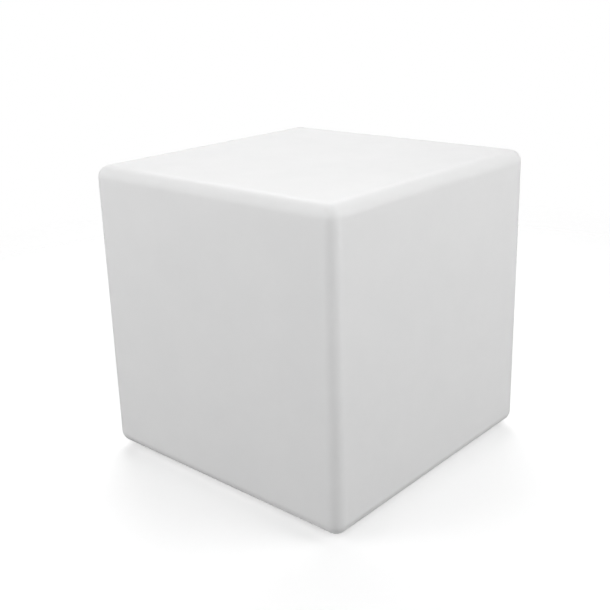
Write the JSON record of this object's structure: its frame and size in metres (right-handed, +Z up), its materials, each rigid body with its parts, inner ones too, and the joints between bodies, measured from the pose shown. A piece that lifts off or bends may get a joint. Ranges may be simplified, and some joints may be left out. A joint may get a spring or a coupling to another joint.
{
  "type": "led cube light",
  "caption": "Glowing garden cube that doubles as a stool or side table: a hollow rounded white moulding on rubber feet, with a rechargeable light unit screwed up into its underside.",
  "frame": {"origin": "on the ground, under the middle of the cube", "axes": "+Z up; -Y out of the side wall that the picture shows on its left; +X out of the side wall that it shows on its right"},
  "size_m": [0.3998, 0.3998, 0.398],
  "materials": {
    "shell_polyethylene": "satin, translucent white",
    "foot_rubber": "matte",
    "housing_plastic": "fine matte grain",
    "stainless_screw": "satin stainless steel",
    "brass_insert": "turned",
    "button_silicone": "soft matte",
    "cover_silicone": "soft matte",
    "seal_silicone": "soft matte",
    "gasket_rubber": "matte closed-cell",
    "board_laminate": "satin solder mask",
    "lamp_board_laminate": "white solder mask on aluminium",
    "lamp_package": "satin, with yellow wells",
    "dark_plastic": "matte",
    "connector_plastic": "matte",
    "switch_plastic": "matte",
    "plunger_plastic": "matte",
    "coil_ferrite": "matte ferrite",
    "capacitor_can": "satin can",
    "nickel_contact": "nickel plated",
    "clear_plastic": "clear, polished polycarbonate",
    "lens_plastic": "lightly frosted polycarbonate",
    "cell_sleeve": "heat-shrunk sleeve",
    "tray_plastic": "matte",
    "lead_red": "satin insulation",
    "lead_black": "satin insulation",
    "ribbon_grey": "satin insulation"
  },
  "bodies": {
    "cube": {"base_housing": "housing_plastic", "base_screw_inserts": "brass_insert", "base_screws": "stainless_screw", "battery_cell_back": "cell_sleeve", "battery_cell_front": "cell_sleeve", "battery_cell_links": "nickel_contact", "battery_clamp": "tray_plastic", "battery_clamp_screws": "stainless_screw", "battery_header": "connector_plastic", "battery_lead_black": "lead_black", "battery_lead_red": "lead_red", "battery_plug": "connector_plastic", "battery_tray": "tray_plastic", "battery_tray_screws": "stainless_screw", "capacitors": "capacitor_can", "charge_lamp": "lamp_package", "charge_light_guide": "clear_plastic", "charging_coil": "coil_ferrite", "charging_cover_anchor": "cover_silicone", "charging_socket": "dark_plastic", "charging_socket_contact": "nickel_contact", "charging_socket_pin": "nickel_contact", "colour_switch": "switch_plastic", "control_board": "board_laminate", "control_board_screws": "stainless_screw", "controller_chip": "dark_plastic", "cube_shell": "shell_polyethylene", "flange_gasket": "gasket_rubber", "foot_screw_inserts": "brass_insert", "foot_screws": "stainless_screw", "lamp_board": "lamp_board_laminate", "lamp_board_screws": "stainless_screw", "lamp_header": "connector_plastic", "lamp_plug": "connector_plastic", "lamp_ribbon": "ribbon_grey", "lamps": "lamp_package", "lens_cover": "lens_plastic", "lens_screws": "stainless_screw", "lens_seal": "seal_silicone", "power_switch": "switch_plastic", "remote_receiver": "dark_plastic", "rubber_feet": "foot_rubber"},
    "power_button": {"power_button": "button_silicone", "power_button_ring": "seal_silicone", "power_switch_plunger": "plunger_plastic"},
    "colour_button": {"colour_button": "button_silicone", "colour_button_ring": "seal_silicone", "colour_switch_plunger": "plunger_plastic"},
    "charging_cover": {"charging_cover": "cover_silicone"}
  },
  "joints": [
    {"name": "power_button_press", "type": "slide", "parent": "cube", "child": "power_button", "axis": [0, 0, 1], "range_m": [0, 0.0005], "stiffness_N_per_m": 2500},
    {"name": "colour_button_press", "type": "slide", "parent": "cube", "child": "colour_button", "axis": [0, 0, 1], "range_m": [0, 0.0005], "stiffness_N_per_m": 2500},
    {"name": "charging_cover_hinge", "type": "hinge", "parent": "cube", "child": "charging_cover", "pos_m": [0, -0.027, 0.0188], "axis": [-1, 0, 0], "range_deg": [0, 110]}
  ]
}
